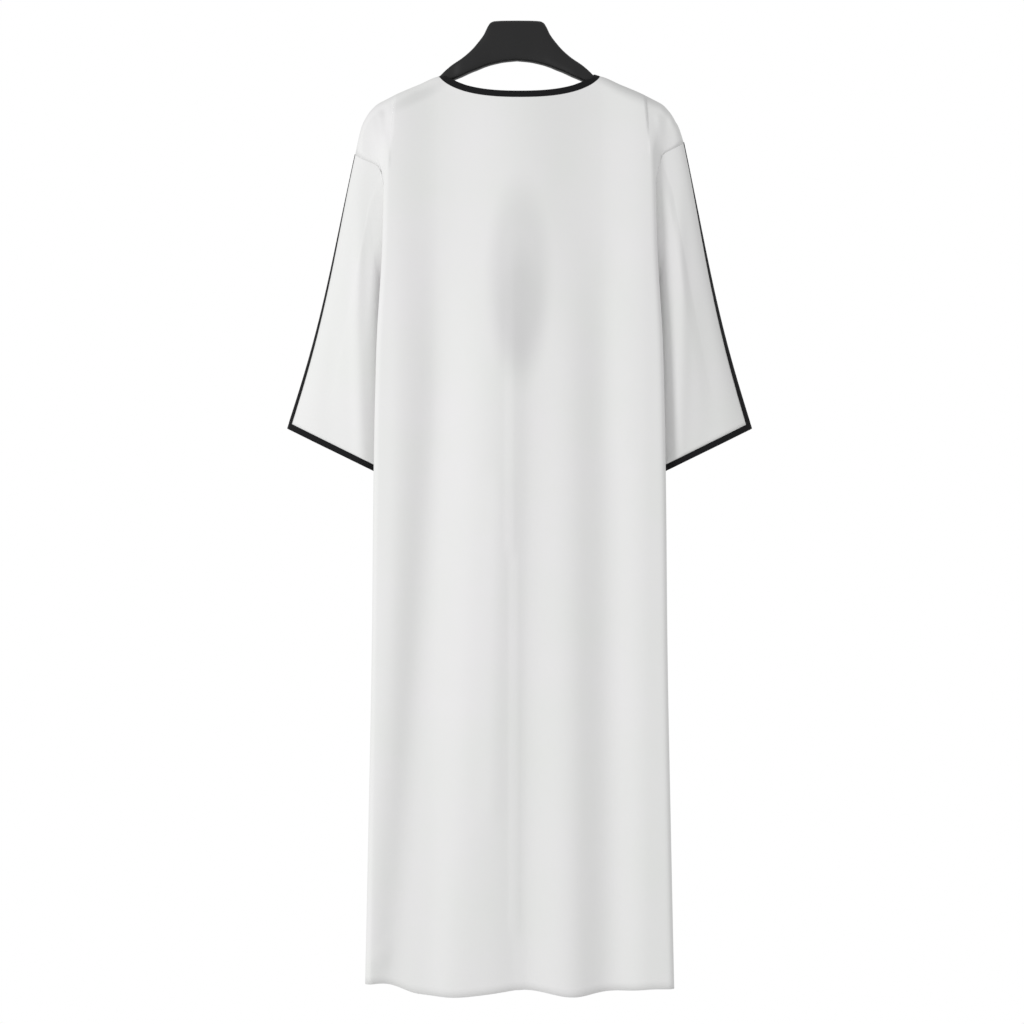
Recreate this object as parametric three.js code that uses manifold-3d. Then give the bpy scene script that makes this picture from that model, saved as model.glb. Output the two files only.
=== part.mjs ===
// A long white robe (thobe) with black trim, hanging on a broad suit hanger.
// Millimetres, +Z up. The origin is the top of the hanger's crown, where the hook screws in.
// -Y is the robe's back, +Y its front, and +X the wearer's right.
import * as THREE from 'three';
import { mergeVertices } from 'three/addons/utils/BufferGeometryUtils.js';
import Module from 'manifold-3d';

const wasm = await Module();
wasm.setup();

// ---- driving dimensions ----

const clothWall = 1.2;
const bindingWall = 1.8;
const trimWall = 0.9;
const seamGap = 0.3;
const trimLift = 0.35;
const armholeGap = 1.9;
const bindingGap = 0.8;

const robeCentreX = 4;
const neckHalfWidth = 120.5;
const neckPointZ = -79;
const backNeckDrop = 33.5;
const frontNeckDrop = 95;
const bindingWidth = 8.5;
const hemZ = -1453;
const sideHemZ = -1446;
const hemWave = 0.45;

// the top of the shoulder, out from the robe's middle
const shoulderLine = [
  { out: 0, z: -72 },
  { out: 60, z: -73.5 },
  { out: 120.5, z: -79 },
  { out: 152, z: -92.3 },
  { out: 180, z: -104.6 },
  { out: 202, z: -116 },
  { out: 214, z: -122.5 },
  { out: 223.5, z: -132 },
  { out: 230, z: -141.8 },
  { out: 234.5, z: -151 },
];
const shoulderTip = { left: { out: 247, z: -201 }, right: { out: 246.5, z: -183 } };

// half the width between the robe's hanging side folds, and how deep it hangs there
const bodySections = [
  { z: -107, half: 195, back: 0, front: 0 },
  { z: -200, half: 202, back: 14, front: 12 },
  { z: -340, half: 205, back: 24, front: 22 },
  { z: -500, half: 213.5, back: 29, front: 28 },
  { z: -700, half: 217.5, back: 31, front: 30 },
  { z: -930, half: 219.5, back: 33, front: 31 },
  { z: -1240, half: 225, back: 36, front: 33 },
  { z: -1460, half: 229.5, back: 38, front: 35 },
];
const sideFoldRadius = 9;

// the armhole seam and, below the underarm, the side seam, tucked in behind the side folds
const sideSeam = [
  { z: -209, out: 212, depth: 22 },
  { z: -240, out: 205, depth: 25 },
  { z: -300, out: 197, depth: 25 },
  { z: -380, out: 186, depth: 14 },
  { z: -455, out: 174, depth: 0 },
  { z: -600, out: 176, depth: 0 },
  { z: -900, out: 180, depth: 0 },
  { z: -1460, out: 204, depth: 0 },
];
const seamTuckDrop = 26;

// hanging folds: a ridge stands out, a trough falls in, and both drift sideways on the way down
const backFolds = [
  { chestX: -176, hemX: -222, chest: 3, hem: 7, inner: 34, outer: 30 },
  { chestX: -122, hemX: -192, chest: -4, hem: -8, inner: 30, outer: 26 },
  { chestX: -56, hemX: -100, chest: 5, hem: 11, inner: 46, outer: 40 },
  { chestX: 16, hemX: 6, chest: -5, hem: -11, inner: 22, outer: 36 },
  { chestX: 79, hemX: 80, chest: 5, hem: 10, inner: 34, outer: 30 },
  { chestX: 138, hemX: 142, chest: -4, hem: -6, inner: 30, outer: 26 },
];
const frontFolds = [
  { chestX: -150, hemX: -172, chest: -4, hem: -9, inner: 30, outer: 34 },
  { chestX: -88, hemX: -98, chest: 5, hem: 10, inner: 36, outer: 40 },
  { chestX: 0, hemX: -6, chest: -3, hem: -9, inner: 30, outer: 30 },
  { chestX: 84, hemX: 72, chest: 5, hem: 11, inner: 40, outer: 32 },
  { chestX: 152, hemX: 150, chest: -4, hem: -8, inner: 26, outer: 34 },
];
const foldTopZ = -230;
const foldChestZ = -560;

// sleeves: the cuff's line runs down and in from the overarm crease to the underarm
const cuff = { outer: 347, inner: 190, outerZ: -605.5, slope: 0.494, depth: 28, widest: 0.62 };
const sleeveBulge = 5;
const underarmClearance = 16;
const cuffBindingWidth = 8.5;

// rows of the body from the shoulder or neck edge (0) to the hem (1)
const bodyRows = [
  0, 0.0022, 0.0046, 0.009, 0.017, 0.03, 0.05, 0.078, 0.115, 0.158, 0.2025,
  0.26, 0.34, 0.43, 0.53, 0.64, 0.76, 0.88, 1,
];
const underarmRow = 10;
const placketEndRow = 11;
const sleeveRows = [0, 0.03, 0.09, 0.18, 0.3, 0.43, 0.57, 0.72, 0.87, 1];

// the moulded hanger, from its middle out: top and bottom edges and half its thickness
const hangerSections = [
  { out: 0, top: 0, bottom: -60.5, half: 11 },
  { out: 20, top: -0.2, bottom: -62.5, half: 11 },
  { out: 34, top: -1, bottom: -65.5, half: 11 },
  { out: 40, top: -3.5, bottom: -67, half: 11 },
  { out: 44.5, top: -10, bottom: -68.5, half: 11 },
  { out: 49.5, top: -20.5, bottom: -70.2, half: 11 },
  { out: 58.5, top: -33, bottom: -74, half: 11 },
  { out: 69, top: -45, bottom: -78, half: 11 },
  { out: 83, top: -57, bottom: -84.5, half: 11 },
  { out: 98, top: -70, bottom: -91, half: 6 },
  { out: 108, top: -86, bottom: -96, half: 3.5 },
  { out: 117, top: -92, bottom: -102, half: 4 },
  { out: 130, top: -92, bottom: -108, half: 9 },
  { out: 152, top: -98.5, bottom: -117, half: 12.5 },
  { out: 178, top: -110, bottom: -128, half: 15 },
  { out: 196, top: -119.5, bottom: -134.5, half: 15.5 },
  { out: 203, top: -125, bottom: -135, half: 13 },
  { out: 207, top: -128, bottom: -133, half: 9 },
];
const hangerSectionPoints = 16;
const hangerSquareness = 0.8;
const hookHole = { radius: 2.5, depth: 20, sides: 20 };

// ---- looking sizes up ----

const lerp = THREE.MathUtils.lerp;
const clamp01 = (value) => THREE.MathUtils.clamp(value, 0, 1);
const smooth = (value) => THREE.MathUtils.smoothstep(value, 0, 1);

// Reads a column of a table at a value of its key, straight between rows.
function read(table, key, value, column) {
  const rising = table[table.length - 1][key] > table[0][key];
  let row = 0;
  while (row < table.length - 2 && (rising ? value > table[row + 1][key] : value < table[row + 1][key])) {
    row += 1;
  }
  const from = table[row];
  const to = table[row + 1];
  return lerp(from[column], to[column], clamp01((value - from[key]) / (to[key] - from[key])));
}

function shoulderZ(out, tip) {
  const last = shoulderLine[shoulderLine.length - 1];
  if (out <= last.out) return read(shoulderLine, 'out', out, 'z');
  return lerp(last.z, tip.z, ((out - last.out) / (tip.out - last.out)) ** 1.4);
}

// ---- the body's surface ----

// How far the hanging folds push the face out at one place.
function foldRelief(folds, x, z) {
  const grown = clamp01((foldTopZ - z) / (foldTopZ - foldChestZ));
  const lower = clamp01((foldChestZ - z) / (foldChestZ - hemZ));
  let relief = 0;
  for (const fold of folds) {
    const centre = lerp(fold.chestX, fold.hemX, lower);
    const width = Math.abs(x) > Math.abs(centre) ? fold.outer : fold.inner;
    const height = lerp(fold.chest, fold.hem, lower) * smooth(grown);
    relief += height * Math.exp(-(((x - centre) / width) ** 2));
  }
  return relief;
}

// How deep the cloth rolls over the hanger: narrow at the neck point, wider to both sides.
function shoulderDepth(out) {
  if (out < neckHalfWidth) return 14 + 12 * Math.cos((Math.PI / 2) * (out / neckHalfWidth)) ** 2;
  return 14 + 9 * smooth((out - neckHalfWidth) / 70);
}

const shoulderRollDrop = 16;
function shoulderRoll(drop) {
  return Math.sqrt(1 - (1 - clamp01(drop / shoulderRollDrop)) ** 2);
}

// Depth of the front or back face below the shoulder line.
function faceDepth(half, x, z) {
  const drop = read(shoulderLine, 'out', Math.abs(x), 'z') - z;
  const hang = read(bodySections, 'z', z, half.name);
  return shoulderDepth(Math.abs(x)) * shoulderRoll(drop) + hang + foldRelief(half.folds, x, z);
}

function neckEdgeZ(half, x) {
  const across = clamp01(Math.abs(x) / neckHalfWidth);
  return neckPointZ - half.neckDrop * (1 - across ** 2.2) ** half.neckRoundness;
}

// The side of the section at one height: round the fold, then straight back to the seam.
// share runs from 0, where the face ends, to 1, at the seam.
const rollShare = 0.42;
function sidePoint(half, side, share, z) {
  const foldX = read(bodySections, 'z', z, 'half') - sideFoldRadius;
  const face = faceDepth(half, side * foldX, z);
  const seamOut = read(sideSeam, 'z', z, 'out');
  const seamDepth = read(sideSeam, 'z', z, 'depth');
  const away = new THREE.Vector2(seamOut - foldX, face - seamDepth - sideFoldRadius);
  const reach = Math.sqrt(Math.max(away.lengthSq() - sideFoldRadius ** 2, 0));
  const turn = Math.atan2(away.y, away.x) + Math.atan2(sideFoldRadius, reach);
  const angle = turn * Math.min(share / rollShare, 1);
  const run = reach * Math.max((share - rollShare) / (1 - rollShare), 0);
  return {
    out: foldX + sideFoldRadius * Math.sin(angle) + run * Math.cos(turn),
    depth: face - sideFoldRadius * (1 - Math.cos(angle)) - run * Math.sin(turn),
  };
}

// Columns across a panel: the neck, the shoulder and the side, which folds back.
const neckIntervals = 14;
const shoulderIntervals = 4;
const sideIntervals = 6;
const foldStartOut = bodySections[0].half - sideFoldRadius;

function sideColumns(sign) {
  const columns = [];
  for (let i = 1; i <= shoulderIntervals; i += 1) {
    columns.push({ sign, topOut: lerp(neckHalfWidth, foldStartOut, i / shoulderIntervals), share: 0 });
  }
  for (let i = 1; i <= sideIntervals; i += 1) {
    columns.push({ sign, topOut: foldStartOut, share: i / sideIntervals });
  }
  return columns;
}

const neckColumns = Array.from({ length: neckIntervals + 1 }, (_, i) => {
  const x = neckHalfWidth * Math.sin(lerp(-Math.PI / 2, Math.PI / 2, i / neckIntervals));
  return { sign: Math.sign(x) || 1, topOut: Math.abs(x), share: 0, neck: true };
});
const panelColumns = [...sideColumns(-1).reverse(), ...neckColumns, ...sideColumns(1)];
const firstNeckColumn = shoulderIntervals + sideIntervals;

function robePoint(sign, out, depth, z, half) {
  return new THREE.Vector3(robeCentreX + sign * out, half.sign * depth, z);
}

function bodyPoint(half, column, level) {
  const tip = column.sign < 0 ? shoulderTip.left : shoulderTip.right;
  const { sign, share } = column;
  if (share === 0) {
    const x = sign * column.topOut;
    const top = column.neck ? neckEdgeZ(half, x) : shoulderZ(column.topOut, tip);
    const bottom = hemZ - hemWave * foldRelief(half.folds, x * 1.2, hemZ);
    const z = lerp(top, bottom, level);
    const spread = (read(bodySections, 'z', z, 'half') - sideFoldRadius) / foldStartOut;
    const out = column.topOut * spread;
    const face = faceDepth(half, sign * out, z);
    const drop = top - z;
    const onSeam = column.neck ? 1 : shoulderRoll(drop);
    return robePoint(sign, out, column.neck && column.topOut < neckHalfWidth ? face : face * onSeam, z, half);
  }
  const topOut = lerp(foldStartOut, tip.out, share);
  const top = shoulderZ(topOut, tip);
  const z = lerp(top, lerp(hemZ, sideHemZ, smooth(share * 2)), level);
  const tuckZ = tip.z - seamTuckDrop;
  const low = sidePoint(half, sign, share, Math.min(z, tuckZ));
  const settled = smooth((top - z) / (top - tuckZ));
  const capDepth = (shoulderDepth(topOut) - 3 * share) * shoulderRoll(top - z);
  return robePoint(sign, lerp(topOut, low.out, settled), lerp(capDepth, low.depth, settled), z, half);
}

function panelGrid(half) {
  return bodyRows.map((level) => panelColumns.map((column) => bodyPoint(half, column, level)));
}

// ---- the sleeves' surface ----

// The cuff in plan: a crease at the overarm, widest near the body, closed at the underarm.
function cuffShape(share) {
  if (share < cuff.widest) return (1 - (1 - share / cuff.widest) ** 2) ** 0.7;
  return Math.sqrt(Math.max(1 - ((share - cuff.widest) / (1 - cuff.widest)) ** 2, 0));
}

function cuffPoint(sign, share, half) {
  const out = lerp(cuff.outer, cuff.inner, share);
  const z = cuff.outerZ - (cuff.outer - out) * cuff.slope;
  return robePoint(sign, out, cuff.depth * cuffShape(share), z, half);
}

// Columns go once round: down the back of the armhole, then up its front.
function sleeveGrid(sign, backGrid, frontGrid) {
  const edge = sign < 0 ? 0 : panelColumns.length - 1;
  const ring = [];
  for (let row = 0; row <= underarmRow; row += 1) ring.push({ half: back, top: backGrid[row][edge] });
  for (let row = underarmRow - 1; row > 0; row -= 1) ring.push({ half: front, top: frontGrid[row][edge] });
  const seam = [0];
  for (let i = 1; i <= underarmRow; i += 1) seam.push(seam[i - 1] + ring[i].top.distanceTo(ring[i - 1].top));
  const armhole = seam[underarmRow];
  const cuffLength = (cuff.outer - cuff.inner) * Math.hypot(1, cuff.slope);
  const shareOf = (i) => {
    const along = seam[i <= underarmRow ? i : ring.length - i] / armhole;
    return along * (armhole / cuffLength) * (cuffLength / armhole) ** along;
  };
  return sleeveRows.map((level) => ring.map(({ half, top }, i) => {
    const share = clamp01(shareOf(i));
    const point = top.clone().lerp(cuffPoint(sign, share, half), level);
    point.y += half.sign * sleeveBulge * Math.sin(Math.PI * level) * cuffShape(share);
    point.x += sign * underarmClearance * Math.min(level / sleeveRows[1], 1) * smooth(share * 2) * (1 - level);
    return point;
  }));
}

// ---- walls from grids of points ----

// A cloth is a grid of points on its outer face, with the outward direction at each.
function makeCloth(grid, { closed = false, flip = false } = {}) {
  const rows = grid.length;
  const columns = grid[0].length;
  const normals = grid.map((row) => row.map(() => new THREE.Vector3()));
  const lastColumn = closed ? columns : columns - 1;
  for (let r = 0; r < rows - 1; r += 1) {
    for (let c = 0; c < lastColumn; c += 1) {
      const corners = [[r, c], [r, (c + 1) % columns], [r + 1, (c + 1) % columns], [r + 1, c]];
      const [a, b, d, e] = corners.map(([i, j]) => grid[i][j]);
      const normal = d.clone().sub(a).cross(b.clone().sub(e));
      if (flip) normal.negate();
      for (const [i, j] of corners) normals[i][j].add(normal);
    }
  }
  for (const row of normals) for (const normal of row) normal.normalize();
  return { grid, normals, closed, flip };
}

const seamKey = (point) => point.toArray().map((value) => Math.round(value * 20)).join();

// Cloths that meet at a seam share one outward direction there, unless the seam is a sharp fold.
function shareSeamNormals(cloths) {
  const sums = new Map();
  const visit = (action) => {
    for (const cloth of cloths) {
      cloth.grid.forEach((row, r) => row.forEach((point, c) => action(cloth, r, c, seamKey(point))));
    }
  };
  visit((cloth, r, c, key) => {
    if (!sums.has(key)) sums.set(key, new THREE.Vector3());
    sums.get(key).add(cloth.normals[r][c]);
  });
  visit((cloth, r, c, key) => {
    const shared = sums.get(key).clone().normalize();
    if (shared.dot(cloth.normals[r][c]) > 0.4) cloth.normals[r][c] = shared;
  });
}

// Draws a cloth's edges back from its seams.
function openSeams(cloth, gap = seamGap / 2) {
  const { grid, closed } = cloth;
  const lastRow = grid.length - 1;
  const lastColumn = grid[0].length - 1;
  const pulled = grid.map((row) => row.map((point) => point.clone()));
  const pull = (r, c, toRow, toColumn) => {
    const inward = grid[toRow][toColumn].clone().sub(grid[r][c]).setLength(gap);
    pulled[r][c].add(inward);
  };
  for (let c = 0; c <= lastColumn; c += 1) pull(0, c, 1, c);
  if (!closed) {
    for (let r = 0; r <= lastRow; r += 1) {
      pull(r, 0, r, 1);
      pull(r, lastColumn, r, lastColumn - 1);
    }
  }
  return { ...cloth, grid: pulled };
}

// A closed wall: its outer face stands `lift` off the grid, its inner face `wall` below that.
function wallGeometry({ grid, normals, closed, flip }, wall, lift = 0) {
  const rows = grid.length;
  const columns = grid[0].length;
  const positions = [];
  for (const offset of [lift, lift - wall]) {
    grid.forEach((row, r) => row.forEach((point, c) => {
      positions.push(...point.clone().addScaledVector(normals[r][c], offset).toArray());
    }));
  }
  const at = (layer, r, c) => layer * rows * columns + r * columns + (c % columns);
  const indices = [];
  const quad = (a, b, c, d) => {
    if (flip) indices.push(a, c, b, a, d, c);
    else indices.push(a, b, c, a, c, d);
  };
  const lastColumn = closed ? columns : columns - 1;
  for (let r = 0; r < rows - 1; r += 1) {
    for (let c = 0; c < lastColumn; c += 1) {
      quad(at(0, r, c), at(0, r + 1, c), at(0, r + 1, c + 1), at(0, r, c + 1));
      quad(at(1, r, c), at(1, r, c + 1), at(1, r + 1, c + 1), at(1, r + 1, c));
    }
  }
  for (let c = 0; c < lastColumn; c += 1) {
    quad(at(0, 0, c), at(0, 0, c + 1), at(1, 0, c + 1), at(1, 0, c));
    quad(at(0, rows - 1, c + 1), at(0, rows - 1, c), at(1, rows - 1, c), at(1, rows - 1, c + 1));
  }
  if (!closed) {
    for (let r = 0; r < rows - 1; r += 1) {
      const c = columns - 1;
      quad(at(0, r + 1, 0), at(0, r, 0), at(1, r, 0), at(1, r + 1, 0));
      quad(at(0, r, c), at(0, r + 1, c), at(1, r + 1, c), at(1, r, c));
    }
  }
  return bufferGeometry(positions, indices);
}

function bufferGeometry(positions, indices) {
  const geometry = new THREE.BufferGeometry();
  geometry.setAttribute('position', new THREE.Float32BufferAttribute(positions, 3));
  geometry.setIndex(indices);
  return geometry;
}

// ---- trim made from the cloths' own points ----

// A ring or strip of binding that carries on past an edge, in the cloth's own slope.
function bindingCloth(edge, normals, inward, width, flip) {
  const start = edge.map((point, i) => point.clone().addScaledVector(inward[i], -bindingGap));
  const end = edge.map((point, i) => point.clone().addScaledVector(inward[i], -width));
  return { grid: [end, start], normals: [normals, normals], closed: true, flip };
}

function neckBinding(backCloth, frontCloth) {
  const neck = Array.from({ length: neckIntervals + 1 }, (_, i) => firstNeckColumn + i);
  const parts = [
    ...neck.slice(0, -1).map((c) => [backCloth, c]),
    ...neck.slice(1).reverse().map((c) => [frontCloth, c]),
  ];
  const edge = parts.map(([cloth, c]) => cloth.grid[0][c]);
  const normals = parts.map(([cloth, c]) => cloth.normals[0][c]);
  const inward = edge.map((point, i) => {
    const along = edge[(i + 1) % edge.length].clone().sub(edge.at(i - 1));
    return normals[i].clone().cross(along).normalize().negate();
  });
  return bindingCloth(edge, normals, inward, bindingWidth, false);
}

function cuffBinding(sleeve) {
  const last = sleeve.grid.length - 1;
  const edge = sleeve.grid[last];
  const inward = edge.map((point, c) => sleeve.grid[last - 1][c].clone().sub(point).normalize());
  const ring = bindingCloth(edge, sleeve.normals[last], inward, cuffBindingWidth, sleeve.flip);
  return { ...ring, grid: [ring.grid[1], ring.grid[0]] };
}

// A strip over a stretch of a cloth's own rows and columns.
function stripCloth(cloth, rows, columns) {
  const pick = (table) => rows.map((r) => columns.map((c) => table[r].at(c)));
  return { grid: pick(cloth.grid), normals: pick(cloth.normals), closed: false, flip: cloth.flip };
}

// ---- the hanger ----

// One section across the hanger: a rounded oblong, in the YZ plane.
function hangerRing(sign, { out, top, bottom, half }) {
  const middle = (top + bottom) / 2;
  const rise = (top - bottom) / 2;
  return Array.from({ length: hangerSectionPoints }, (_, i) => {
    const angle = (2 * Math.PI * i) / hangerSectionPoints;
    const round = (value) => Math.sign(value) * Math.abs(value) ** hangerSquareness;
    return new THREE.Vector3(sign * out, half * round(Math.cos(angle)), middle + rise * round(Math.sin(angle)));
  });
}

function hangerGeometry() {
  const rings = [
    ...hangerSections.slice(1).reverse().map((section) => hangerRing(-1, section)),
    ...hangerSections.map((section) => hangerRing(1, section)),
  ];
  const positions = rings.flat().flatMap((point) => point.toArray());
  const count = hangerSectionPoints;
  const indices = [];
  for (let r = 0; r < rings.length - 1; r += 1) {
    for (let i = 0; i < count; i += 1) {
      const a = r * count + i;
      const b = r * count + ((i + 1) % count);
      indices.push(a, b, b + count, a, b + count, a + count);
    }
  }
  for (const [r, turned] of [[0, false], [rings.length - 1, true]]) {
    const centre = positions.length / 3;
    const middle = rings[r].reduce((sum, point) => sum.add(point), new THREE.Vector3()).divideScalar(count);
    positions.push(...middle.toArray());
    for (let i = 0; i < count; i += 1) {
      const a = r * count + i;
      const b = r * count + ((i + 1) % count);
      if (turned) indices.push(centre, a, b);
      else indices.push(centre, b, a);
    }
  }
  return bufferGeometry(positions, indices);
}

// ---- cutting ----

function toManifold(geometry) {
  const bare = geometry.clone();
  bare.deleteAttribute('normal');
  bare.deleteAttribute('uv');
  const merged = mergeVertices(bare, 1e-4);
  const vertProperties = new Float32Array(merged.attributes.position.array);
  const triVerts = new Uint32Array(merged.index.array);
  return new wasm.Manifold(new wasm.Mesh({ numProp: 3, vertProperties, triVerts }));
}

function fromManifold(solid) {
  const { vertProperties, triVerts } = solid.getMesh();
  return bufferGeometry(Array.from(vertProperties), Array.from(triVerts));
}

// The blind hole in the crown that the hook screws into.
function drillHook(geometry) {
  const { radius, depth, sides } = hookHole;
  const drill = new THREE.CylinderGeometry(radius, radius, depth * 2, sides);
  drill.rotateX(Math.PI / 2);
  return fromManifold(toManifold(geometry).subtract(toManifold(drill)));
}

// ---- assembly ----

const back = { name: 'back', sign: -1, folds: backFolds, neckDrop: backNeckDrop, neckRoundness: 0.62 };
const front = { name: 'front', sign: 1, folds: frontFolds, neckDrop: frontNeckDrop, neckRoundness: 0.55 };

const backCloth = makeCloth(panelGrid(back));
const frontCloth = makeCloth(panelGrid(front), { flip: true });
const leftSleeve = makeCloth(sleeveGrid(-1, backCloth.grid, frontCloth.grid), { closed: true });
const rightSleeve = makeCloth(sleeveGrid(1, backCloth.grid, frontCloth.grid), { closed: true, flip: true });
shareSeamNormals([backCloth, frontCloth, leftSleeve, rightSleeve]);

const whiteCloth = { color: 0xe9ebe8, roughness: 0.85, metalness: 0 };
const blackTrim = { color: 0x17171a, roughness: 0.8, metalness: 0 };
const blackPlastic = { color: 0x1b1b1c, roughness: 0.42, metalness: 0 };

const robe = new THREE.Group();

function addPiece(name, geometry, finish) {
  const piece = new THREE.Mesh(geometry, new THREE.MeshStandardMaterial(finish));
  piece.name = name;
  robe.add(piece);
}

addPiece('back_panel', wallGeometry(openSeams(backCloth), clothWall), whiteCloth);
addPiece('front_panel', wallGeometry(openSeams(frontCloth), clothWall), whiteCloth);
addPiece('neck_binding', wallGeometry(neckBinding(backCloth, frontCloth), bindingWall, 0.5), blackTrim);

const sleeveLast = sleeveRows.length - 1;
const tapeRows = Array.from({ length: sleeveLast + 1 }, (_, i) => i);
for (const [side, sleeve] of [['left', leftSleeve], ['right', rightSleeve]]) {
  addPiece(`sleeve_${side}`, wallGeometry(openSeams(sleeve, armholeGap), clothWall), whiteCloth);
  addPiece(`cuff_binding_${side}`, wallGeometry(cuffBinding(sleeve), bindingWall, 0.5), blackTrim);
  const tape = stripCloth(openSeams(sleeve, armholeGap), tapeRows, [-2, -1, 0, 1, 2]);
  addPiece(`sleeve_tape_${side}`, wallGeometry(tape, trimWall, trimLift + trimWall), blackTrim);
}

const placketRows = Array.from({ length: placketEndRow + 1 }, (_, i) => i);
const middleColumn = firstNeckColumn + neckIntervals / 2;
const placket = stripCloth(frontCloth, placketRows, [middleColumn - 1, middleColumn, middleColumn + 1]);
addPiece('front_placket', wallGeometry(placket, trimWall, trimLift + trimWall), blackTrim);

addPiece('hanger', drillHook(hangerGeometry()), blackPlastic);

export default robe;
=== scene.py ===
"""A long white robe with black trim, hanging on a broad suit hanger, seen from its back."""
import math

import bmesh
import bpy
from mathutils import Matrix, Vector


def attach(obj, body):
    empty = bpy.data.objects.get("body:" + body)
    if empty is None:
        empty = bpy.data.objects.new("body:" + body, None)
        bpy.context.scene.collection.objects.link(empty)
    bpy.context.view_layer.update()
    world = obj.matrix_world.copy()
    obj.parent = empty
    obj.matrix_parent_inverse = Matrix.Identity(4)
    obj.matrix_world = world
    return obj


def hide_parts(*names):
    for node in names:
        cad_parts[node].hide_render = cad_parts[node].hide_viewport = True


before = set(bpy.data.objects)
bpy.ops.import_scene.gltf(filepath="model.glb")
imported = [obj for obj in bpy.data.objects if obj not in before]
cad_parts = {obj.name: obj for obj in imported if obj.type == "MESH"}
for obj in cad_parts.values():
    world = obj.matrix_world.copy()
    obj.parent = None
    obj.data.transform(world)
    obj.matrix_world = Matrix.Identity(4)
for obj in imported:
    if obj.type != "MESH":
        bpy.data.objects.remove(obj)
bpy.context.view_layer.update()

scene = bpy.context.scene
MM = 0.001

# ---- the robe's sizes, in millimetres, in the frame's own axes ----

ROBE_CENTRE_X = 4
NECK_HALF_WIDTH = 120.5
NECK_POINT_Z = -83.5
HEM_Z = -1453
HEM_WAVE = 0.45
# the hem rises towards the side folds
HEM_RISE = {-1: {"rise": 17, "from": 148, "over": 72}, 1: {"rise": 7, "from": 135, "over": 70}}
SHOULDER_LINE = [
    {"out": 0, "z": -76},
    {"out": 60, "z": -77.5},
    {"out": 120.5, "z": -83.5},
    {"out": 152, "z": -96.5},
    {"out": 180, "z": -108.5},
    {"out": 202, "z": -119.5},
    {"out": 214, "z": -126},
    {"out": 223.5, "z": -135},
    {"out": 230, "z": -144},
    {"out": 234.5, "z": -152.5},
]
SHOULDER_ROLL_DROP = 16
SHOULDER_HALF_DEPTH = {"arm": 14, "neck": 12, "out": 9, "over": 70}
SHOULDER_TIP = {-1: {"out": 247, "z": -201}, 1: {"out": 246.5, "z": -183}}
BODY_SECTIONS = [
    {"z": -107, "half": 195, "back": 0, "front": 0},
    {"z": -200, "half": 202, "back": 14, "front": 12},
    {"z": -340, "half": 205, "back": 24, "front": 22},
    {"z": -500, "half": 213.5, "back": 29, "front": 28},
    {"z": -700, "half": 217.5, "back": 31, "front": 30},
    {"z": -930, "half": 219.5, "back": 33, "front": 31},
    {"z": -1240, "half": 225, "back": 36, "front": 33},
    {"z": -1460, "half": 229.5, "back": 38, "front": 35},
]
SIDE_FOLD_RADIUS = 9
SIDE_FOLD_SHARE = 0.42
SIDE_SEAM = [
    {"z": -209, "out": 212, "depth": 22},
    {"z": -240, "out": 205, "depth": 25},
    {"z": -300, "out": 197, "depth": 25},
    {"z": -380, "out": 186, "depth": 14},
    {"z": -455, "out": 174, "depth": 0},
    {"z": -600, "out": 176, "depth": 0},
    {"z": -900, "out": 180, "depth": 0},
    {"z": -1460, "out": 204, "depth": 0},
]
SEAM_TUCK_DROP = 26
UNDERARM_Z = -455
BACK_FOLDS = [
    {"chest_x": -176, "hem_x": -222, "chest": 3, "hem": 7, "inner": 34, "outer": 30},
    {"chest_x": -122, "hem_x": -192, "chest": -4, "hem": -8, "inner": 30, "outer": 26},
    {"chest_x": -56, "hem_x": -100, "chest": 5, "hem": 11, "inner": 46, "outer": 40},
    {"chest_x": 16, "hem_x": 6, "chest": -5, "hem": -11, "inner": 22, "outer": 36},
    {"chest_x": 79, "hem_x": 80, "chest": 5, "hem": 10, "inner": 34, "outer": 30},
    {"chest_x": 138, "hem_x": 142, "chest": -4, "hem": -6, "inner": 30, "outer": 26},
]
FRONT_FOLDS = [
    {"chest_x": -150, "hem_x": -172, "chest": -4, "hem": -9, "inner": 30, "outer": 34},
    {"chest_x": -88, "hem_x": -98, "chest": 5, "hem": 10, "inner": 36, "outer": 40},
    {"chest_x": 0, "hem_x": -6, "chest": -3, "hem": -9, "inner": 30, "outer": 30},
    {"chest_x": 84, "hem_x": 72, "chest": 5, "hem": 11, "inner": 40, "outer": 32},
    {"chest_x": 152, "hem_x": 150, "chest": -4, "hem": -8, "inner": 26, "outer": 34},
]
FOLD_TOP_Z = -230
FOLD_CHEST_Z = -560
# small creases, each a soft dent (negative) or ridge along a line from (x, z) to (x, z)
BACK_CREASES = [
    {"x0": -202, "z0": -142, "x1": -201, "z1": -172, "height": -5, "width": 7},
    {"x0": -214, "z0": -150, "x1": -203, "z1": -215, "height": -2.5, "width": 4},
    {"x0": 222, "z0": -138, "x1": 217, "z1": -190, "height": -3.5, "width": 5},
    {"x0": 207, "z0": -150, "x1": 212, "z1": -185, "height": 3, "width": 5},
    {"x0": -226, "z0": -1412, "x1": -196, "z1": -1392, "height": 3, "width": 7},
    {"x0": 148, "z0": -420, "x1": 150, "z1": -640, "height": 1.5, "width": 20},
    {"x0": -30, "z0": -700, "x1": -40, "z1": -1180, "height": 1.6, "width": 16},
]
FRONT_CREASES = [
    {"x0": 205, "z0": -145, "x1": 204, "z1": -176, "height": -4, "width": 7},
    {"x0": -204, "z0": -140, "x1": -202, "z1": -180, "height": -4, "width": 6},
    {"x0": -60, "z0": -260, "x1": -120, "z1": -420, "height": 1.6, "width": 16},
    {"x0": 58, "z0": -250, "x1": 110, "z1": -400, "height": 1.6, "width": 18},
]
CUFF = {"outer": 347, "inner": 190, "outer_z": -605.5, "slope": 0.494, "depth": 28, "widest": 0.62}
SLEEVE_BULGE = 5
UNDERARM_CLEARANCE = 16
OVERARM_SAG = 7
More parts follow.
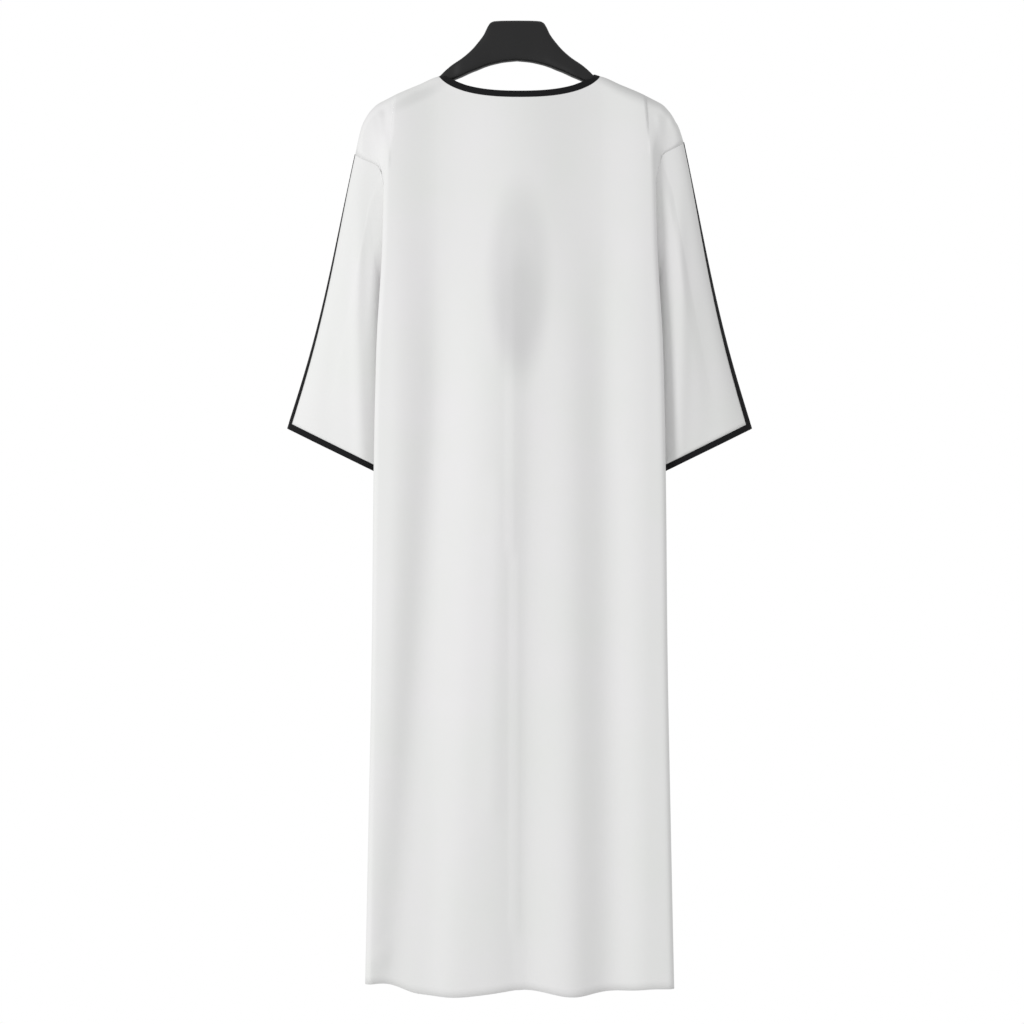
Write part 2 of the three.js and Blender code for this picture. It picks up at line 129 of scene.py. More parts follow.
BINDING_WIDTH = 9.5
TAPE_WIDTH = 12
PLACKET_HALF_WIDTH = 26
PLACKET_LENGTH = 345
CLOTH_THICKNESS = 0.5
BINDING_THICKNESS = 1.5
HANGER_SECTIONS = [
    {"out": 0, "top": 0, "bottom": -60.5, "half": 11},
    {"out": 20, "top": -0.2, "bottom": -62.5, "half": 11},
    {"out": 34, "top": -1, "bottom": -65.5, "half": 11},
    {"out": 40, "top": -3.5, "bottom": -67, "half": 11},
    {"out": 44.5, "top": -10, "bottom": -68.5, "half": 11},
    {"out": 49.5, "top": -20.5, "bottom": -70.2, "half": 11},
    {"out": 58.5, "top": -33, "bottom": -74, "half": 11},
    {"out": 69, "top": -45, "bottom": -78, "half": 11},
    {"out": 83, "top": -57, "bottom": -84.5, "half": 11},
    {"out": 98, "top": -67, "bottom": -91, "half": 9},
    {"out": 108, "top": -75.5, "bottom": -96, "half": 9},
    {"out": 117, "top": -84, "bottom": -101.5, "half": 8.5},
    {"out": 130, "top": -91, "bottom": -109, "half": 9.5},
    {"out": 152, "top": -101.5, "bottom": -119, "half": 12},
    {"out": 178, "top": -113.5, "bottom": -130, "half": 14.5},
    {"out": 196, "top": -123, "bottom": -136, "half": 15},
    {"out": 203, "top": -127.5, "bottom": -136, "half": 13},
    {"out": 207, "top": -130, "bottom": -134.5, "half": 9},
]


# ---- looking sizes up ----

def mix(a, b, share):
    return a + (b - a) * share


def clamp(value, low=0.0, high=1.0):
    return max(low, min(high, value))


def smooth(value):
    value = clamp(value)
    return value * value * (3 - 2 * value)


def read(table, key, value, column):
    """Reads a table's column at a value of its key, on a smooth curve through the rows."""
    keys = [row[key] for row in table]
    if keys[0] > keys[-1]:
        keys = [-k for k in keys]
        value = -value
    last = len(table) - 1
    value = clamp(value, keys[0], keys[-1])
    i = 0
    while i < last - 1 and value > keys[i + 1]:
        i += 1
    values = [row[column] for row in table]

    def slope(j):
        if j in (0, last):
            k = min(j, last - 1)
            return (values[k + 1] - values[k]) / (keys[k + 1] - keys[k])
        before = (values[j] - values[j - 1]) / (keys[j] - keys[j - 1])
        after = (values[j + 1] - values[j]) / (keys[j + 1] - keys[j])
        return 0 if before * after <= 0 else 2 * before * after / (before + after)

    span = keys[i + 1] - keys[i]
    t = (value - keys[i]) / span
    return (values[i] * (2 * t ** 3 - 3 * t ** 2 + 1) + slope(i) * span * (t ** 3 - 2 * t ** 2 + t)
            + values[i + 1] * (3 * t ** 2 - 2 * t ** 3) + slope(i + 1) * span * (t ** 3 - t ** 2))


# ---- the body's surface ----

BACK = {
    "name": "back", "sign": -1, "folds": BACK_FOLDS, "creases": BACK_CREASES, "drop": 35.5, "round": 0.62,
}
FRONT = {
    "name": "front", "sign": 1, "folds": FRONT_FOLDS, "creases": FRONT_CREASES, "drop": 95, "round": 0.55,
}


def fold_relief(folds, x, z):
    """How far the hanging folds push the face out."""
    grown = smooth((FOLD_TOP_Z - z) / (FOLD_TOP_Z - FOLD_CHEST_Z))
    lower = clamp((FOLD_CHEST_Z - z) / (FOLD_CHEST_Z - HEM_Z))
    relief = 0
    for fold in folds:
        centre = mix(fold["chest_x"], fold["hem_x"], lower)
        width = fold["outer"] if abs(x) > abs(centre) else fold["inner"]
        relief += mix(fold["chest"], fold["hem"], lower) * grown * math.exp(-((x - centre) / width) ** 2)
    return relief


def crease_relief(creases, x, z):
    """The small creases, each fading out past its two ends."""
    relief = 0
    for crease in creases:
        run = Vector((crease["x1"] - crease["x0"], crease["z1"] - crease["z0"]))
        away = Vector((x - crease["x0"], z - crease["z0"]))
        along = clamp(away.dot(run) / run.length_squared)
        gap = (away - run * along).length / crease["width"]
        if gap < 3:
            relief += crease["height"] * math.exp(-gap * gap)
    return relief


def shoulder_depth(out):
    """Half the robe's thickness at the shoulder: it swells at the neck and again towards the sleeve."""
    depth = SHOULDER_HALF_DEPTH
    if out < NECK_HALF_WIDTH:
        return depth["arm"] + depth["neck"] * math.cos(math.pi / 2 * out / NECK_HALF_WIDTH) ** 2
    return depth["arm"] + depth["out"] * smooth((out - NECK_HALF_WIDTH) / depth["over"])


def shoulder_roll(drop):
    """How far the cloth has rolled over the shoulder, from 0 on its top line to 1 on its face."""
    return math.sqrt(1 - (1 - clamp(drop / SHOULDER_ROLL_DROP)) ** 2)


def shoulder_z(out, tip):
    last = SHOULDER_LINE[-1]
    if out <= last["out"]:
        return read(SHOULDER_LINE, "out", out, "z")
    return mix(last["z"], tip["z"], ((out - last["out"]) / (tip["out"] - last["out"])) ** 1.4)


def face_depth(half, x, z):
    drop = read(SHOULDER_LINE, "out", abs(x), "z") - z
    hang = read(BODY_SECTIONS, "z", z, half["name"])
    relief = fold_relief(half["folds"], x, z) + crease_relief(half["creases"], x, z)
    return shoulder_depth(abs(x)) * shoulder_roll(drop) + hang + relief


def neck_edge_z(half, x):
    across = clamp(abs(x) / NECK_HALF_WIDTH)
    return NECK_POINT_Z - half["drop"] * (1 - across ** 2.2) ** half["round"]


def side_point(half, side, share, z):
    """The side of the section at one height: round the fold, then back to the seam."""
    radius = SIDE_FOLD_RADIUS
    fold_x = read(BODY_SECTIONS, "z", z, "half") - radius
    face = face_depth(half, side * fold_x, z)
    away_x = read(SIDE_SEAM, "z", z, "out") - fold_x
    away_y = face - read(SIDE_SEAM, "z", z, "depth") - radius
    reach = math.sqrt(max(away_x ** 2 + away_y ** 2 - radius ** 2, 0))
    turn = math.atan2(away_y, away_x) + math.atan2(radius, reach)
    angle = turn * min(share / SIDE_FOLD_SHARE, 1)
    run = reach * max((share - SIDE_FOLD_SHARE) / (1 - SIDE_FOLD_SHARE), 0)
    return (fold_x + radius * math.sin(angle) + run * math.cos(turn),
            face - radius * (1 - math.cos(angle)) - run * math.sin(turn))


def robe_point(sign, out, depth, z, half):
    return Vector((ROBE_CENTRE_X + sign * out, half["sign"] * depth, z))


FOLD_START = BODY_SECTIONS[0]["half"] - SIDE_FOLD_RADIUS
HEM_SPREAD = (BODY_SECTIONS[-1]["half"] - SIDE_FOLD_RADIUS) / FOLD_START


def hem_z(half, sign, out):
    """The hem's height, rising towards the side and waving with the folds."""
    rise = HEM_RISE[sign]
    lifted = rise["rise"] * smooth((out - rise["from"]) / rise["over"])
    return HEM_Z + lifted - HEM_WAVE * fold_relief(half["folds"], sign * out, HEM_Z)


def body_point(half, column, level):
    sign, top_out, share, in_neck = column
    tip = SHOULDER_TIP[sign]
    if share == 0:
        x = sign * top_out
        top = neck_edge_z(half, x) if in_neck else shoulder_z(top_out, tip)
        z = mix(top, hem_z(half, sign, top_out * HEM_SPREAD), level)
        out = top_out * (read(BODY_SECTIONS, "z", z, "half") - SIDE_FOLD_RADIUS) / FOLD_START
        return robe_point(sign, out, face_depth(half, sign * out, z), z, half)
    start = mix(FOLD_START, tip["out"], share)
    top = shoulder_z(start, tip)
    z = mix(top, hem_z(half, sign, FOLD_START * HEM_SPREAD), level)
    tuck_z = tip["z"] - SEAM_TUCK_DROP
    low = side_point(half, sign, share, min(z, tuck_z))
    settled = smooth((top - z) / (top - tuck_z))
    cap = (shoulder_depth(start) - 3 * share) * shoulder_roll(top - z)
    cap += crease_relief(half["creases"], sign * mix(start, low[0], settled), z) * (1 - share) * (1 - settled)
    return robe_point(sign, mix(start, low[0], settled), mix(cap, low[1], settled), z, half)


NECK_STEPS = 64
SHOULDER_STEPS = 22
SIDE_STEPS = 20
BODY_STEPS = 190


def panel_columns():
    columns = []
    for sign in (-1, 1):
        side = [(sign, mix(NECK_HALF_WIDTH, FOLD_START, i / SHOULDER_STEPS), 0, False)
                for i in range(1, SHOULDER_STEPS + 1)]
        side += [(sign, FOLD_START, i / SIDE_STEPS, False) for i in range(1, SIDE_STEPS + 1)]
        columns.append(side)
    neck = []
    for i in range(NECK_STEPS + 1):
        x = NECK_HALF_WIDTH * math.sin(mix(-math.pi / 2, math.pi / 2, i / NECK_STEPS))
        neck.append((-1 if x < 0 else 1, abs(x), 0, True))
    return columns[0][::-1] + neck + columns[1]


COLUMNS = panel_columns()
FIRST_NECK = SHOULDER_STEPS + SIDE_STEPS


def body_levels():
    """Shares of the way down the body, close together over the shoulder."""
    return [(i / BODY_STEPS) ** 1.9 for i in range(BODY_STEPS + 1)]


LEVELS = body_levels()


def panel_grid(half):
    return [[body_point(half, column, level) for column in COLUMNS] for level in LEVELS]


# ---- the sleeves' surface ----

def cuff_shape(share):
    if share < CUFF["widest"]:
        return (1 - (1 - share / CUFF["widest"]) ** 2) ** 0.7
    return math.sqrt(max(1 - ((share - CUFF["widest"]) / (1 - CUFF["widest"])) ** 2, 0))


SLEEVE_STEPS = 90
# the sleeve hangs in one long soft ridge beside the body and turns away towards the overarm
SLEEVE_RIDGE = {"out": 236, "height": 3.5, "width": 13}
SLEEVE_HOLLOW = {"out": 285, "height": -2.5, "width": 22}


def sleeve_grid(sign, back_grid, front_grid):
    edge = 0 if sign < 0 else len(COLUMNS) - 1
    tip_z = SHOULDER_TIP[sign]["z"]
    under = min(range(len(LEVELS)), key=lambda i: abs(mix(tip_z, HEM_Z, LEVELS[i]) - UNDERARM_Z))
    ring = [(BACK, back_grid[row][edge]) for row in range(under + 1)]
    ring += [(FRONT, front_grid[row][edge]) for row in range(under - 1, 0, -1)]
    seam = [0]
    for i in range(1, under + 1):
        seam.append(seam[-1] + (ring[i][1] - ring[i - 1][1]).length)
    ratio = (CUFF["outer"] - CUFF["inner"]) * math.hypot(1, CUFF["slope"]) / seam[under]
    grid = []
    for step in range(SLEEVE_STEPS + 1):
        level = (step / SLEEVE_STEPS) ** 1.3
        row = []
        for i, (half, top) in enumerate(ring):
            along = seam[i if i <= under else len(ring) - i] / seam[under]
            share = clamp(along / ratio * ratio ** along)
            out = mix(CUFF["outer"], CUFF["inner"], share)
            low = robe_point(sign, out, CUFF["depth"] * cuff_shape(share),
                             CUFF["outer_z"] - (CUFF["outer"] - out) * CUFF["slope"], half)
            point = top.lerp(low, level)
            rise = SLEEVE_BULGE * math.sin(math.pi * level) * cuff_shape(share)
            here = abs(point.x - ROBE_CENTRE_X)
            for wave in (SLEEVE_RIDGE, SLEEVE_HOLLOW):
                rise += (wave["height"] * smooth(level * 3) * cuff_shape(share)
                         * math.exp(-((here - wave["out"]) / wave["width"]) ** 2))
            point.y += half["sign"] * rise
            point.x += sign * UNDERARM_CLEARANCE * smooth(level / 0.14) * smooth(share * 1.6) * (1 - level)
            point.x -= sign * OVERARM_SAG * math.sin(math.pi * level ** 1.4) * (1 - smooth(share / 0.5))
            row.append(point)
        grid.append(row)
    return grid


# ---- meshes from grids ----

def grid_normals(grid, closed, flip):
    rows, columns = len(grid), len(grid[0])
    normals = []
    for r in range(rows):
        line = []
        for c in range(columns):
            up, down = grid[max(r - 1, 0)][c], grid[min(r + 1, rows - 1)][c]
            if closed:
                left, right = grid[r][c - 1], grid[r][(c + 1) % columns]
            else:
                left, right = grid[r][max(c - 1, 0)], grid[r][min(c + 1, columns - 1)]
            normal = (down - up).cross(right - left)
            line.append((-normal if flip else normal).normalized())
        normals.append(line)
    return normals


def wall(name, grid, thickness, material, closed=False, flip=False, lift=0, edge_round=0):
    """A closed thin wall on a grid of points, with UVs in metres along its columns and rows."""
    normals = grid_normals(grid, closed, flip)
    rows, columns = len(grid), len(grid[0])
    mesh = bmesh.new()
    layers = []
    for offset in (lift, lift - thickness):
        layer = []
        for r in range(rows):
            line = []
            for c in range(columns):
                rim = min(r, rows - 1 - r) if rows > 2 else 1
                ease = edge_round if rim == 0 else 0
                depth = offset - ease if offset == lift else offset + ease
                line.append(mesh.verts.new((grid[r][c] + normals[r][c] * depth) * MM))
            layer.append(line)
        layers.append(layer)
    uv = mesh.loops.layers.uv.new("cloth")
    run = [0]
    for r in range(1, rows):
        middle = columns // 2
        run.append(run[-1] + (grid[r][middle] - grid[r - 1][middle]).length * MM)
    across = [0]
    for c in range(1, columns + 1):
        across.append(across[-1] + (grid[rows // 2][c % columns] - grid[rows // 2][c - 1]).length * MM)

    def face(corners, places):
        if flip:
            corners, places = corners[::-1], places[::-1]
        made = mesh.faces.new(corners)
        made.smooth = True
        for loop, (c, r) in zip(made.loops, places):
            loop[uv].uv = (across[c], -run[r])

    top, low = layers
    last = columns if closed else columns - 1
    for r in range(rows - 1):
        for c in range(last):
            d = (c + 1) % columns
            square = [(c, r), (c, r + 1), (c + 1, r + 1), (c + 1, r)]
            face([top[r][c], top[r + 1][c], top[r + 1][d], top[r][d]], square)
            face([low[r][c], low[r][d], low[r + 1][d], low[r + 1][c]],
                 [(c, r), (c + 1, r), (c + 1, r + 1), (c, r + 1)])
    for c in range(last):
        d = (c + 1) % columns
        face([top[0][c], top[0][d], low[0][d], low[0][c]], [(c, 0), (c + 1, 0), (c + 1, 0), (c, 0)])
        e = rows - 1
        face([top[e][d], top[e][c], low[e][c], low[e][d]], [(c + 1, e), (c, e), (c, e), (c + 1, e)])
    if not closed:
        e = columns - 1
        for r in range(rows - 1):
            face([top[r + 1][0], top[r][0], low[r][0], low[r + 1][0]],
                 [(0, r + 1), (0, r), (0, r), (0, r + 1)])
            face([top[r][e], top[r + 1][e], low[r + 1][e], low[r][e]],
                 [(e, r), (e, r + 1), (e, r + 1), (e, r)])
    return finish_mesh(name, mesh, material)


def finish_mesh(name, mesh, material):
    data = bpy.data.meshes.new(name)
    mesh.to_mesh(data)
    mesh.free()
    data.materials.append(material)
    piece = bpy.data.objects.new(name, data)
    scene.collection.objects.link(piece)
    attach(piece, "root")
    return piece


# ---- materials ----

def linear(hex_colour):
    """An sRGB hex value as linear RGBA."""
    parts = [int(hex_colour[i:i + 2], 16) / 255 for i in (0, 2, 4)]
    return [p / 12.92 if p <= 0.04045 else ((p + 0.055) / 1.055) ** 2.4 for p in parts] + [1]


def add_node(tree, kind, links=None, **settings):
    """Adds a node; settings are its properties or inputs, and links join inputs to sockets."""
    node = tree.nodes.new(kind)
    for key, value in settings.items():
        if hasattr(node, key):
            setattr(node, key, value)
        else:
            node.inputs[key.replace("_", " ")].default_value = value
    for key, source in (links or {}).items():
        tree.links.new(source, node.inputs[key])
    return node


def new_material(name):
    material = bpy.data.materials.new(name)
    material.use_nodes = True
    tree = material.node_tree
    tree.nodes.clear()
    output = add_node(tree, "ShaderNodeOutputMaterial")
    shader = add_node(tree, "ShaderNodeBsdfPrincipled")
    tree.links.new(shader.outputs[0], output.inputs["Surface"])
    return material, tree, shader


def soft_patch(tree, place, centre, reach, edge, tilt=0):
    """1 inside an ellipse in X and Z, turned by tilt, fading to 0 over its edge."""
    shifted = add_node(tree, "ShaderNodeVectorMath", {0: place}, operation="SUBTRACT")
    shifted.inputs[1].default_value = centre
    turn = math.radians(tilt)
    spans = []
    for across, up, size in ((math.cos(turn), math.sin(turn), reach[0]),
                             (-math.sin(turn), math.cos(turn), reach[1])):
        span = add_node(tree, "ShaderNodeVectorMath", {0: shifted.outputs[0]}, operation="DOT_PRODUCT")
        span.inputs[1].default_value = (across / size, 0, up / size)
        spans.append(span.outputs["Value"])
    flat = add_node(tree, "ShaderNodeCombineXYZ", {"X": spans[0], "Y": spans[1]})
    length = add_node(tree, "ShaderNodeVectorMath", {0: flat.outputs[0]}, operation="LENGTH")
    fade = add_node(tree, "ShaderNodeMapRange", {"Value": length.outputs["Value"]},
                    interpolation_type="SMOOTHSTEP")
    fade.inputs["From Min"].default_value = 1 - edge
    fade.inputs["From Max"].default_value = 1 + edge
    fade.inputs["To Min"].default_value = 1
    fade.inputs["To Max"].default_value = 0
    return fade.outputs["Result"]


def woven_polyester(name, shadows):
    """White woven polyester crepe: matt, a faint sheen at grazing angles and a barely seen fine weave."""
    material, tree, shader = new_material(name)
    place = add_node(tree, "ShaderNodeTexCoord").outputs["Object"]
    uv = add_node(tree, "ShaderNodeUVMap", uv_map="cloth").outputs["UV"]
    thread = 0.9 * MM  # drawn coarser than the real weave, so that it shows at all
    warp = add_node(tree, "ShaderNodeTexWave", {"Vector": uv}, bands_direction="X",
                    Scale=1 / thread / 20 * math.pi, Distortion=0.6, Detail=1.0)
    weft = add_node(tree, "ShaderNodeTexWave", {"Vector": uv}, bands_direction="Y",
                    Scale=1 / thread / 20 * math.pi, Distortion=0.6, Detail=1.0)
    weave = add_node(tree, "ShaderNodeMath", {0: warp.outputs["Fac"], 1: weft.outputs["Fac"]},
                     operation="MULTIPLY")
    cloud = add_node(tree, "ShaderNodeTexNoise", {"Vector": place}, Scale=9.0, Detail=3.0)
    tone = add_node(tree, "ShaderNodeMix", {"Factor": cloud.outputs["Fac"]}, data_type="RGBA")
    tone.inputs["A"].default_value = linear("E9EBE8")
    tone.inputs["B"].default_value = linear("EFEDEF")
    colour = tone.outputs["Result"]
    # painted shade: each patch mixes the base colour towards a grey, where something dark behind the thin
    # cloth would show through
    for centre, reach, edge, tilt, strength, tint in shadows:
        mask = soft_patch(tree, place, centre, reach, edge, tilt)
        amount = add_node(tree, "ShaderNodeMath", {0: mask}, operation="MULTIPLY")
        amount.inputs[1].default_value = strength
        shade = add_node(tree, "ShaderNodeMix", {"Factor": amount.outputs[0], "A": colour},
                         data_type="RGBA")
        shade.inputs["B"].default_value = linear(tint)
        colour = shade.outputs["Result"]
    tree.links.new(colour, shader.inputs["Base Color"])
    bump = add_node(tree, "ShaderNodeBump", {"Height": weave.outputs[0]}, Strength=0.12, Distance=0.0002)
    tree.links.new(bump.outputs[0], shader.inputs["Normal"])
    shader.inputs["Roughness"].default_value = 0.82
    shader.inputs["IOR"].default_value = 1.5
    shader.inputs["Specular IOR Level"].default_value = 0.25
    shader.inputs["Sheen Weight"].default_value = 0.12
    shader.inputs["Sheen Roughness"].default_value = 0.4
    return material


def black_tape(name):
    """Black woven polyester binding: matt, dark, with fine ribs across it and a faint grey sheen."""
    material, tree, shader = new_material(name)
    uv = add_node(tree, "ShaderNodeUVMap", uv_map="cloth").outputs["UV"]
    rib = 0.9 * MM
    ribs = add_node(tree, "ShaderNodeTexWave", {"Vector": uv}, bands_direction="DIAGONAL",
                    Scale=1 / rib / 20 * math.pi, Distortion=0.4)
    tone = add_node(tree, "ShaderNodeMix", {"Factor": ribs.outputs["Fac"]}, data_type="RGBA")
    tone.inputs["A"].default_value = linear("0E0E10")
    tone.inputs["B"].default_value = linear("19191B")
    tree.links.new(tone.outputs["Result"], shader.inputs["Base Color"])
    bump = add_node(tree, "ShaderNodeBump", {"Height": ribs.outputs["Fac"]}, Strength=0.35, Distance=0.0003)
    tree.links.new(bump.outputs[0], shader.inputs["Normal"])
    shader.inputs["Roughness"].default_value = 0.85
    shader.inputs["Specular IOR Level"].default_value = 0.2
    shader.inputs["Sheen Weight"].default_value = 0.05
    return material


def moulded_plastic(name):
    """Black moulded polystyrene: satin, with a fine grain from the mould that softens its highlights."""
    material, tree, shader = new_material(name)
    place = add_node(tree, "ShaderNodeTexCoord").outputs["Object"]
    grain = add_node(tree, "ShaderNodeTexNoise", {"Vector": place}, Scale=1400.0, Detail=2.0)
    cloud = add_node(tree, "ShaderNodeTexNoise", {"Vector": place}, Scale=22.0, Detail=3.0)
    rough = add_node(tree, "ShaderNodeMapRange", {"Value": cloud.outputs["Fac"]})
    rough.inputs["To Min"].default_value = 0.34
    rough.inputs["To Max"].default_value = 0.48
    tree.links.new(rough.outputs["Result"], shader.inputs["Roughness"])
    tone = add_node(tree, "ShaderNodeMix", {"Factor": cloud.outputs["Fac"]}, data_type="RGBA")
    tone.inputs["A"].default_value = linear("0F0F10")
    tone.inputs["B"].default_value = linear("151516")
    tree.links.new(tone.outputs["Result"], shader.inputs["Base Color"])
    bump = add_node(tree, "ShaderNodeBump", {"Height": grain.outputs["Fac"]}, Strength=0.1, Distance=0.0001)
    tree.links.new(bump.outputs[0], shader.inputs["Normal"])
    shader.inputs["IOR"].default_value = 1.57
    shader.inputs["Specular IOR Level"].default_value = 0.35
    return material


# painted shade: where the dark placket on the front and the hanger's arms would show softly through the
# back's thin cloth, grey patches are painted into the back's colour
PAINTED_SHOW_THROUGH_SHADE = [
    ((0.003, 0, -0.395), (0.042, 0.135), 0.34, 0, 0.11, "6F6A74"),
    ((0.006, 0, -0.44), (0.030, 0.08), 0.5, 0, 0.08, "6F6A74"),
    ((-0.150, 0, -0.117), (0.044, 0.008), 0.7, 28, 0.10, "5F5F62"),
    ((0.166, 0, -0.106), (0.050, 0.011), 0.6, -28, 0.16, "5F5F62"),
]
back_cloth = woven_polyester("woven_polyester_back_painted_shade", PAINTED_SHOW_THROUGH_SHADE)
plain_cloth = woven_polyester("woven_polyester", [])
trim = black_tape("woven_black_tape")
plastic = moulded_plastic("moulded_black_plastic")

# ---- the robe's pieces ----

back_grid = panel_grid(BACK)
front_grid = panel_grid(FRONT)
back_piece = wall("robe_back", back_grid, CLOTH_THICKNESS, back_cloth)
front_piece = wall("robe_front", front_grid, CLOTH_THICKNESS, plain_cloth, flip=True)
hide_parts("back_panel")
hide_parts("front_panel")


def neck_ring():
    """The binding carries on past the neck edge, back and front, in the cloth's own slope."""
    parts = [(back_grid, FIRST_NECK + i) for i in range(NECK_STEPS)]
    parts += [(front_grid, FIRST_NECK + i) for i in range(NECK_STEPS, 0, -1)]
    edge = [grid[0][c] for grid, c in parts]
    below = [grid[4][c] for grid, c in parts]
    count = len(edge)
    rows = [[] for _ in range(6)]
    for i in range(count):
        along = (edge[(i + 1) % count] - edge[i - 1]).normalized()
        inward = below[i] - edge[i]
        inward = (inward - along * inward.dot(along)).normalized()
        across = edge[i].x - ROBE_CENTRE_X
        over_arm = smooth((abs(across) / NECK_HALF_WIDTH - 0.86) / 0.12)
        inward = inward.lerp(Vector((math.copysign(1, across), 0, -0.3)), over_arm).normalized()
        for step, row in enumerate(rows):
            row.append(edge[i] + inward * (0.4 - (BINDING_WIDTH + 0.4) * (1 - step / 5)))
    return rows


def cuff_ring(grid):
    rows = []
    for step in range(6):
        row = []
        for c, point in enumerate(grid[-1]):
            down = (point - grid[-5][c]).normalized()
            row.append(point + down * (BINDING_WIDTH * step / 5 - 0.4))
        rows.append(row)
    return rows


def tape_strip(grid, shift):
    """A tape of even width along the overarm crease, its middle shifted towards the back or front."""
    rows = []
    for line in grid:
        count = len(line)
        points = []
        for step in range(9):
            target = mix(-TAPE_WIDTH / 2, TAPE_WIDTH / 2, step / 8) + shift
            way = 1 if target >= 0 else -1
            left = abs(target)
            at = 0
            while (line[(at + way) % count] - line[at % count]).length < left:
                left -= (line[(at + way) % count] - line[at % count]).length
                at += way
            a, b = line[at % count], line[(at + way) % count]
            points.append(a + (b - a).normalized() * left)
        rows.append(points)
    return rows


neck_piece = wall("neck_trim", neck_ring(), BINDING_THICKNESS, trim, closed=True,
                  lift=0.6, edge_round=0.4)
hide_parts("neck_binding")

TAPE_SHIFT = {"left": 1.4, "right": 4.2}
sleeves = {}
for side, sign in (("left", -1), ("right", 1)):
    grid = sleeve_grid(sign, back_grid, front_grid)
    flip = sign > 0
    sleeve = wall(f"robe_sleeve_{side}", grid, CLOTH_THICKNESS, plain_cloth,
                  closed=True, flip=flip)
    cuff_trim = wall(f"cuff_trim_{side}", cuff_ring(grid), BINDING_THICKNESS, trim,
                     closed=True, flip=flip, lift=0.6, edge_round=0.4)
    overarm = wall(f"overarm_tape_{side}", tape_strip(grid, TAPE_SHIFT[side]), 0.5, trim,
                   flip=flip, lift=0.9, edge_round=0.1)
    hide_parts(f"sleeve_{side}")
    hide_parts(f"cuff_binding_{side}")
    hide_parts(f"sleeve_tape_{side}")
    sleeves[side] = (sleeve, cuff_trim, overarm)


def placket_strip():
    """The band's columns lie on the front; its lower end is rounded."""
    rows = []
    top_z = neck_edge_z(FRONT, 0)
    for step in range(70):
        z = top_z - 0.5 - PLACKET_LENGTH * step / 69
        left = PLACKET_LENGTH * (1 - step / 69)
        half = PLACKET_HALF_WIDTH * min(1, math.sqrt(max(1 - (1 - min(left / 30, 1)) ** 2, 0.01)))
        row = []
        for i in range(15):
            x = mix(-half, half, i / 14)
            z_here = min(z, neck_edge_z(FRONT, x) - 0.5)
            row.append(robe_point(1, x, face_depth(FRONT, x, z_here), z_here, FRONT))
        rows.append(row)
    return rows


placket = wall("front_band", placket_strip(), 0.6, trim, flip=True, lift=1.0, edge_round=0.1)
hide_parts("front_placket")


# ---- the hanger ----

def hanger_piece():
    stations = []
    for section, after in zip(HANGER_SECTIONS, HANGER_SECTIONS[1:]):
        for part in range(4):
            stations.append(mix(section["out"], after["out"], part / 4))
    stations.append(HANGER_SECTIONS[-1]["out"])
    places = [(-1, out) for out in reversed(stations[1:])] + [(1, out) for out in stations]
    count = 48
    mesh = bmesh.new()
    rings = []
    for sign, out in places:
        top = read(HANGER_SECTIONS, "out", out, "top")
        bottom = read(HANGER_SECTIONS, "out", out, "bottom")
        half = read(HANGER_SECTIONS, "out", out, "half")
        ring = []
        for i in range(count):
            angle = 2 * math.pi * i / count
            y = math.copysign(abs(math.cos(angle)) ** 0.55, math.cos(angle)) * half
            up = math.copysign(abs(math.sin(angle)) ** 0.55, math.sin(angle))
            z = (top + bottom) / 2 + up * (top - bottom) / 2
            ring.append(mesh.verts.new((sign * out * MM, y * MM, z * MM)))
        rings.append(ring)
    for ring, following in zip(rings, rings[1:]):
        for i in range(count):
            j = (i + 1) % count
            mesh.faces.new([ring[i], ring[j], following[j], following[i]])
    mesh.faces.new(rings[0][::-1])
    mesh.faces.new(rings[-1])
    for face in mesh.faces:
        face.smooth = True
    bmesh.ops.recalc_face_normals(mesh, faces=mesh.faces)
    return finish_mesh("suit_hanger", mesh, plastic)


hanger = hanger_piece()
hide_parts("hanger")

# ---- each side's sleeve, cuff trim and overarm tape, looked up again ----

for side in ("left", "right"):
    sleeve, cuff_trim, overarm = sleeves[side]

# ---- floor, lights and camera ----

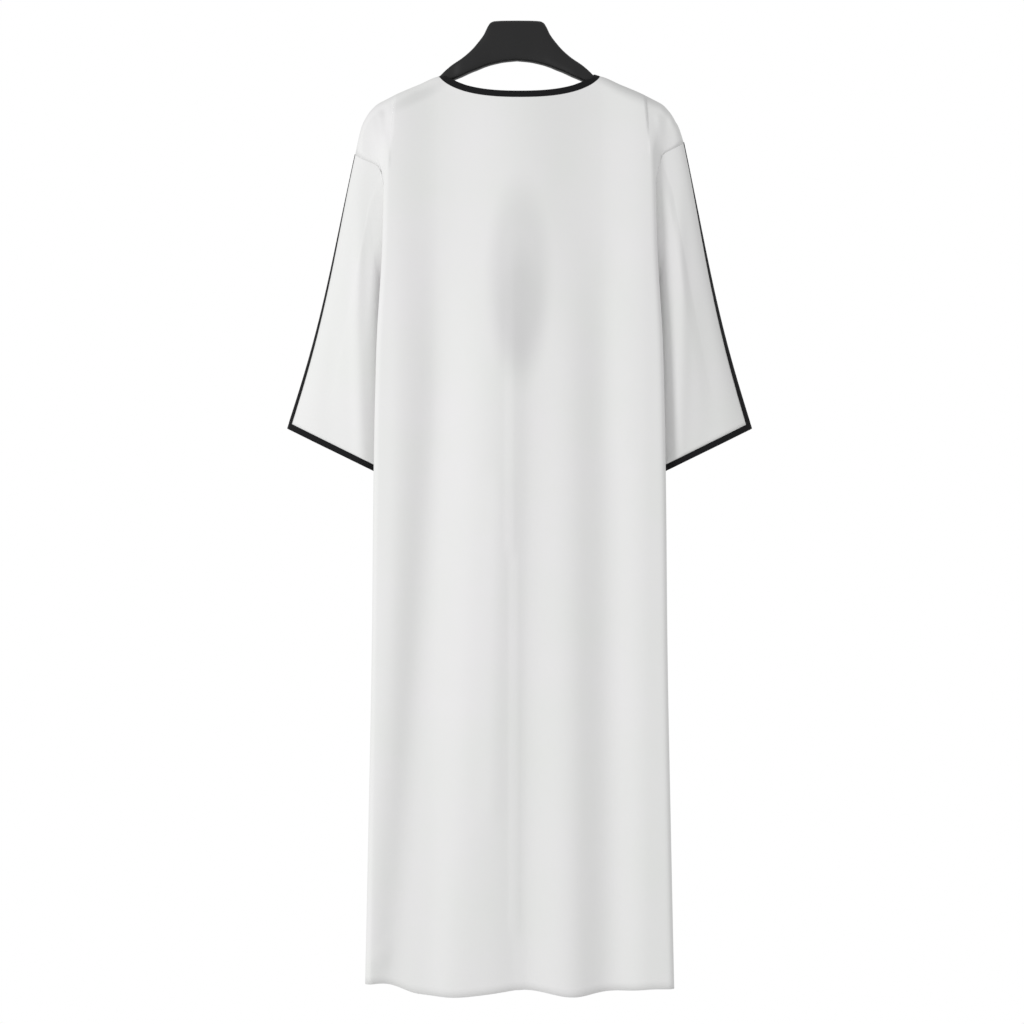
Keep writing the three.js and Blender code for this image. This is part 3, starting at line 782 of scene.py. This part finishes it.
middle_z = -0.7395
FLOOR_Z = -2.05
FLOOR_RADIUS = 2.0
floor_mesh = bmesh.new()
bmesh.ops.create_circle(floor_mesh, cap_ends=True, radius=FLOOR_RADIUS, segments=96)
floor_data = bpy.data.meshes.new("floor")
floor_mesh.to_mesh(floor_data)
floor_mesh.free()
for vertex in floor_data.vertices:
    vertex.co.z = FLOOR_Z
floor = bpy.data.objects.new("floor", floor_data)
floor_material, floor_tree, floor_shader = new_material("pale_floor")
floor_shader.inputs["Base Color"].default_value = linear("F2F2F2")
floor_shader.inputs["Roughness"].default_value = 0.9
floor_data.materials.append(floor_material)
scene.collection.objects.link(floor)

# a white backdrop all round that lights the robe less than it shows, so that the cloth keeps its shading
world = bpy.data.worlds.new("studio")
world.use_nodes = True
sky = world.node_tree
background = sky.nodes["Background"]
background.inputs["Color"].default_value = (1, 1, 1, 1)
seen = add_node(sky, "ShaderNodeLightPath")
strength = add_node(sky, "ShaderNodeMapRange", {"Value": seen.outputs["Is Camera Ray"]})
strength.inputs["To Min"].default_value = 0.65
strength.inputs["To Max"].default_value = 1.0
sky.links.new(strength.outputs["Result"], background.inputs["Strength"])
scene.world = world
scene.view_settings.view_transform = "Standard"


def add_light(name, place, aim, size, watts):
    data = bpy.data.lights.new(name, "AREA")
    data.shape = "RECTANGLE"
    data.size, data.size_y = size
    data.energy = watts
    light = bpy.data.objects.new(name, data)
    light.location = place
    light.rotation_euler = (Vector(aim) - Vector(place)).to_track_quat("-Z", "Y").to_euler()
    scene.collection.objects.link(light)


middle = (0.0, 0.0, middle_z)
add_light("key", (-2.1, -2.2, -0.35), middle, (0.9, 1.6), 33)

CAMERA_DISTANCE = 3.5
FRAME_WIDTH = 1.529
SENSOR_WIDTH = 36
lens = bpy.data.cameras.new("camera")
lens.sensor_width = SENSOR_WIDTH
lens.lens = SENSOR_WIDTH * CAMERA_DISTANCE / FRAME_WIDTH
camera = bpy.data.objects.new("camera", lens)
camera.location = (-0.0075, -CAMERA_DISTANCE - 0.03, middle_z)
camera.rotation_euler = (math.pi / 2, 0, 0)
scene.collection.objects.link(camera)
scene.camera = camera
